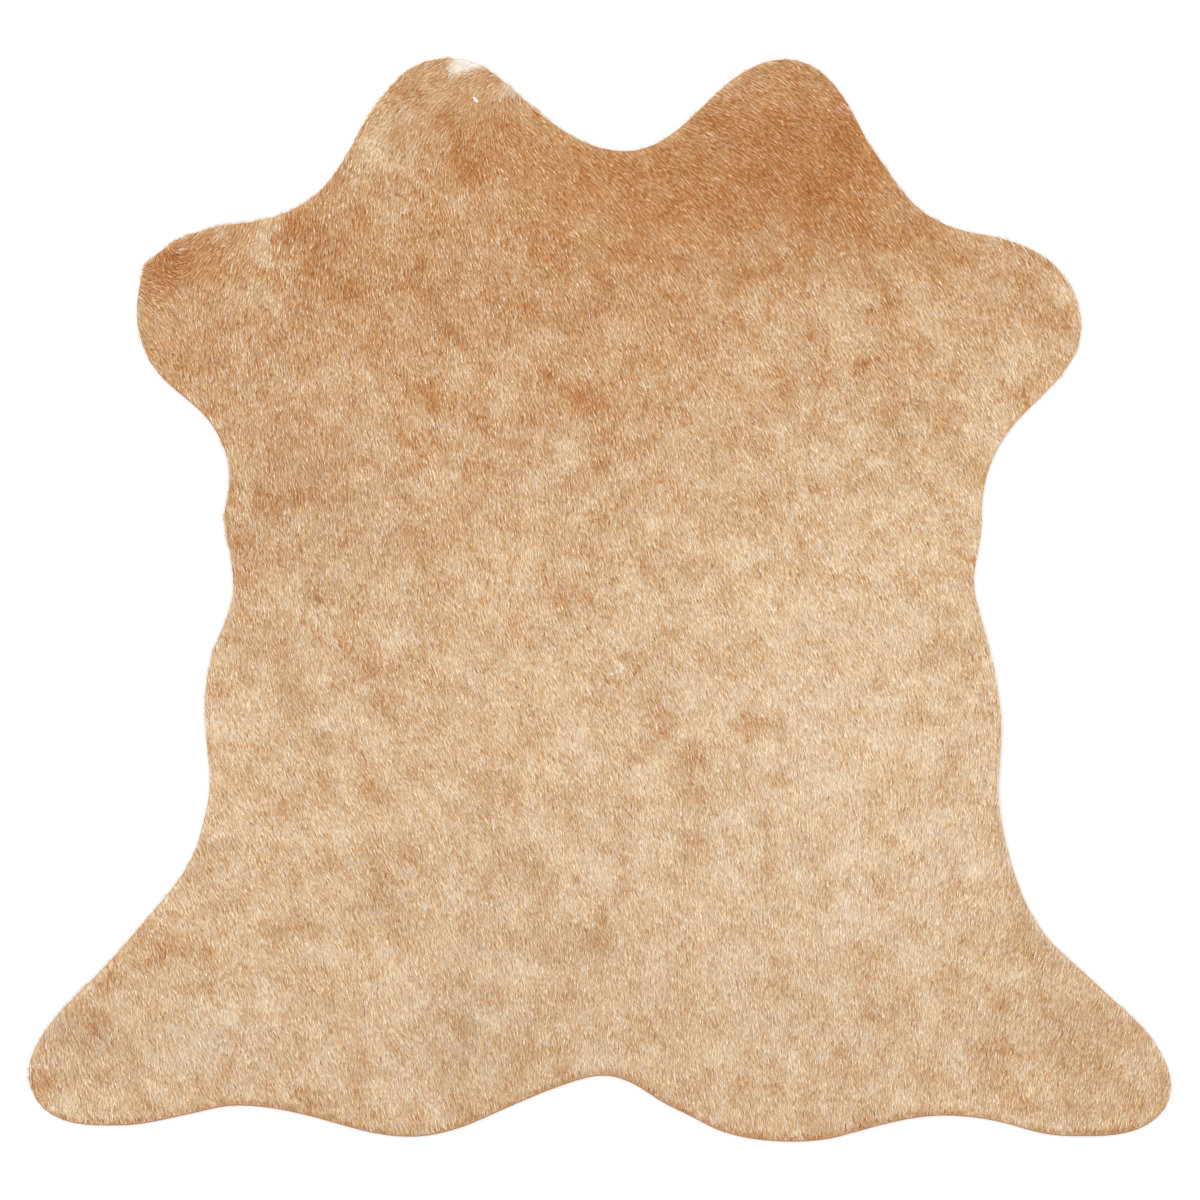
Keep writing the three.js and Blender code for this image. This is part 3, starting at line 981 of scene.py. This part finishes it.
class SkinOperator(bpy.types.Operator):
    """Make the tanned skin that carries the coat"""

    bl_idname = "cowhide.skin"
    bl_label = "Skin"

    def execute(self, context):
        """The solid's own mesh with its upper side lowered to the skin: a height above the
        skin becomes the skin's thickness and DOWN of the coat's swell. At the rim it becomes
        a low step, with its rings still in order."""
        looks = context.scene.cowhide_rug
        rug = shared_rug()
        skin = looks.skin_thickness / MM
        points, faces = quartered(rug.points, rug.faces)
        gap = rug.near_gap(points[:, 0], points[:, 1])
        over = points[:, 2] - skin
        above = over > -0.25 * skin
        lowered = np.where(gap < SKIN_RIM, skin - 0.7 + 0.2 * over, skin - 0.1 + DOWN * over)
        points[:, 2] = np.where(above, lowered, points[:, 2])
        x, y = points[:, 0], points[:, 1]
        tawny, grey = mottled_shade(x, y)
        upper = (points[:, 2] > skin - 0.5).astype(float)
        edge = smooth(2.0, 0.2, gap) * (points[:, 2] > 0.2)
        # The leather fades on edges that face up the rug, under white hair and towards the upper
        # right, so it shows mostly along the lower edges, where it is painted shade of the rim as
        # well as cut leather.
        edge *= (1 - 0.75 * smooth(-0.1, 0.5, rug.outward(x, y)[1])) * (1 - white_hair(x, y))
        edge *= 1 - 0.7 * smooth(0, 100, x) * smooth(-100, 60, y)
        values = {"tawny": tawny, "grey": np.clip(grey, 0, 1), "upper": upper, "edge": edge}
        values["lean"] = np.degrees(nap_lean(x, y))
        piece = mesh_piece("skin", points, faces, values, skin_material(looks))
        size = points.max(0) - points.min(0)
        upward = np.cross(
            points[faces[:, 1], :2] - points[faces[:, 0], :2],
            points[faces[:, 2], :2] - points[faces[:, 0], :2],
        )
        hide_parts("cowhide")
        float(size[0] * MM)
        float(size[1] * MM)
        return {"FINISHED"}


class CoatOperator(bpy.types.Operator):
    """Make the coat of hair, in five pieces from the neck to the rump"""

    bl_idname = "cowhide.coat"
    bl_label = "Coat"

    def execute(self, context):
        looks = context.scene.cowhide_rug
        rug = shared_rug()
        inner, hem = lock_roots(rug, looks.locks), hem_roots(rug)
        x, y, gap = (np.concatenate(pair) for pair in zip(inner, hem))
        material = coat_material(looks)
        order = np.argsort(-y, kind="stable")
        for k, name in enumerate(COATS):
            share = order[k * len(order) // len(COATS) : (k + 1) * len(order) // len(COATS)]
            if len(share) > MOST_LOCKS:
                raise ValueError(f"{name} has {len(share)} locks")
            row = np.arange(len(share)) // math.ceil(math.sqrt(len(share)))
            share = share[np.lexsort((x[share], row))]
            draw = np.random.default_rng(100 + k)
            points, faces, values = comb(rug, looks, x[share], y[share], gap[share], draw)
            mesh_piece(name, points, faces, values, material, atlas(len(share)))
        return {"FINISHED"}


class FuzzOperator(bpy.types.Operator):
    """Make the fine hairs that stick out past the rug's edge"""

    bl_idname = "cowhide.fuzz"
    bl_label = "Fuzz"

    def execute(self, context):
        """Thin locks rooted along the outline where FUZZ says so. Each points out of the rug
        or along the edge, at random, and rises a little."""
        looks = context.scene.cowhide_rug
        rug = shared_rug()
        draw = np.random.default_rng(13)
        x, y, gap = outline_places(rug, FUZZ_STRETCH, FUZZ_DEPTH, draw)
        share = painted(FUZZ_COLUMNS, FUZZ, ("share",), x, y)["share"]
        out_x, out_y = rug.outward(x, y)
        share += 0.15 * smooth(0.2, 0.8, out_y)
        share *= 0.5 + 2.2 * smooth(0.6, 1.5, cloud(x, y, 4.5, 72))
        kept = (draw.uniform(0, 1, len(x)) < share) & (gap > 0)
        x, y, out_x, out_y = x[kept], y[kept], out_x[kept], out_y[kept]
        count = len(x)
        turn = draw.normal(0, math.radians(30), count)
        way_x = out_x * np.cos(turn) - out_y * np.sin(turn)
        way_y = out_x * np.sin(turn) + out_y * np.cos(turn)
        length = draw.uniform(*FUZZ_LENGTH, count)
        low = looks.skin_thickness / MM - draw.uniform(0.2, 1.2, count)
        root = np.stack([x, y, low], 1)
        tip = root + np.stack([way_x, way_y, draw.uniform(0.0, 0.4, count)], 1) * length[:, None]
        lean = np.arctan2(way_x, -way_y)
        width = draw.uniform(*FUZZ_WIDTH, count)
        belly = draw.uniform(0.3, 0.5, count)
        points, faces = tetra_locks(root, tip, lean, width, 0.3 * width, belly)
        tawny, grey = coat_shade(x, y)
        values = {
            "tawny": tawny + draw.normal(-0.1, 0.3, count),
            "grey": np.clip(grey, 0, 1),
            "white": np.clip(white_hair(x, y) + 0.25, 0, 1),
            "shade": np.ones(count),
            "warmth": np.full(count, 0.5),
            "light": np.ones(count),
            "across": np.zeros(count),
            "along": length,
            "lock": draw.uniform(0, 50, count),
        }
        material = bpy.data.materials["coat_hair"]
        mesh_piece("edge_fuzz", points, faces, on_points(values), material, atlas(count))
        return {"FINISHED"}


FLOOR_DROP = 0.2 * MM  # of the floor below the skin's underside
COAT_HEIGHT = 0.005  # where the camera measures the width that it takes in
SENSOR = 36.0  # width of the camera's sensor in millimetres


class StageOperator(bpy.types.Operator):
    """Make the floor, the light and the camera"""

    bl_idname = "cowhide.stage"
    bl_label = "Stage"

    def execute(self, context):
        looks = context.scene.cowhide_stage
        half = looks.floor_width / 2
        mesh = bpy.data.meshes.new("floor")
        corners = [(-half, -half), (half, -half), (half, half), (-half, half)]
        corners = [(x, y, -FLOOR_DROP) for x, y in corners]
        mesh.from_pydata(corners, [], [(0, 1, 2, 3)])
        paint = Paint("plain_floor")
        mottle = paint.noise(3, 2.0) - 0.5
        pale = tuple(looks.floor_colour)
        paint.finish(
            Base_Color=paint.mix(mottle * 0.1, pale, (0.86, 0.86, 0.86, 1.0)),
            Roughness=0.9,
            Specular_IOR_Level=0.1,
        )
        mesh.materials.append(paint.material)
        floor = bpy.data.objects.new("floor", mesh)
        context.scene.collection.objects.link(floor)

        world = bpy.data.worlds.new("studio")
        world.use_nodes = True
        background = world.node_tree.nodes["Background"]
        background.inputs["Color"].default_value = (1, 1, 1, 1)
        background.inputs["Strength"].default_value = looks.sky
        context.scene.world = world
        self.soft_box(context, "soft_box", (-1.5, 1.5, 1.9), 1.4, looks.window)

        camera = bpy.data.cameras.new("camera")
        camera.lens, camera.sensor_width = looks.lens, SENSOR
        eye = bpy.data.objects.new("camera", camera)
        eye.location = (0, 0, COAT_HEIGHT + looks.frame_width * looks.lens / SENSOR)
        camera.clip_start, camera.clip_end = 0.1, 50.0
        context.scene.collection.objects.link(eye)
        context.scene.camera = eye
        context.scene.view_settings.view_transform = "Standard"
        return {"FINISHED"}

    @staticmethod
    def soft_box(context, name, place, width, power):
        """A square area light that looks at the rug's middle."""
        light = bpy.data.lights.new(name, "AREA")
        light.shape, light.size, light.energy = "SQUARE", width, power
        lamp = bpy.data.objects.new(name, light)
        lamp.location = place
        lamp.rotation_mode = "QUATERNION"
        lamp.rotation_quaternion = lamp.location.to_track_quat("Z", "Y")
        context.scene.collection.objects.link(lamp)


class RugPanel(bpy.types.Panel):
    """Shows the settings of the rug and the stage, and a button for each operator, in the sidebar"""

    bl_idname = "VIEW3D_PT_cowhide_rug"
    bl_label = "Cowhide rug"
    bl_space_type = "VIEW_3D"
    bl_region_type = "UI"
    bl_category = "Cowhide rug"

    def draw(self, context):
        layout = self.layout
        for group in (context.scene.cowhide_rug, context.scene.cowhide_stage):
            column = layout.column()
            for name in type(group).__annotations__:
                column.prop(group, name)
        for operator in OPERATORS:
            layout.operator(operator.bl_idname)


OPERATORS = (CoatOperator, FuzzOperator, SkinOperator, StageOperator)
CLASSES = (RugLooks, StageLooks, *OPERATORS, RugPanel)
_rug = []


def shared_rug():
    """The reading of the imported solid, made once."""
    if not _rug:
        _rug.append(Rug(HIDE))
    return _rug[0]


def register():
    for each in CLASSES:
        bpy.utils.register_class(each)
    bpy.types.Scene.cowhide_rug = PointerProperty(type=RugLooks)
    bpy.types.Scene.cowhide_stage = PointerProperty(type=StageLooks)


def unregister():
    del bpy.types.Scene.cowhide_stage, bpy.types.Scene.cowhide_rug
    for each in reversed(CLASSES):
        bpy.utils.unregister_class(each)


def main():
    register()
    bpy.ops.cowhide.coat()
    bpy.ops.cowhide.fuzz()
    bpy.ops.cowhide.skin()
    bpy.ops.cowhide.stage()
    bpy.context.view_layer.update()


if __name__ == "__main__":
    main()
